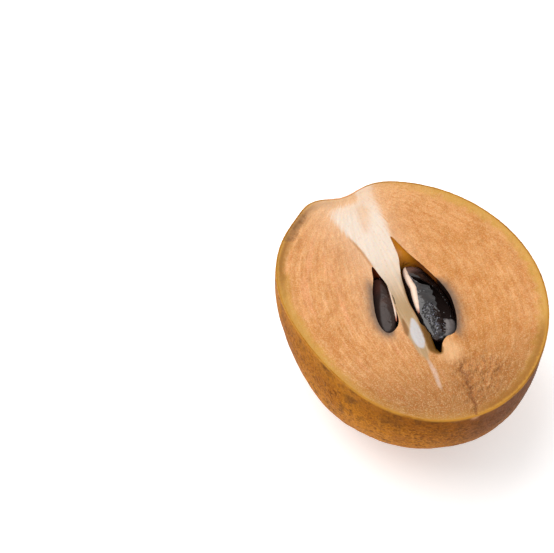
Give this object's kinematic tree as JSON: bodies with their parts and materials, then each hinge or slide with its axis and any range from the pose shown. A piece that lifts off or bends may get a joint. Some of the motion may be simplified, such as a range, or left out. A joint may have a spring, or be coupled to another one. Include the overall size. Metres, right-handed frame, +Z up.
{
  "type": "sapodilla half",
  "caption": "Half a sapodilla fruit cut lengthwise, lying cut face up, with its dark seeds in their chambers beside the pale core.",
  "frame": {"origin": "on the floor, under the middle of the half", "axes": "+Z is up, square to the cut face; +Y runs along the core towards the stem; +X is across the cut face"},
  "size_m": [0.0672, 0.0772, 0.033],
  "materials": {
    "fruit": "moist grainy tan flesh with a pale core and a thin matt brown skin",
    "seed_coat": "glossy black seed coat with a cream scar along the inner edge"
  },
  "bodies": {
    "root": {"fruit": "fruit", "seed_right": "seed_coat", "seed_left": "seed_coat"}
  },
  "joints": []
}
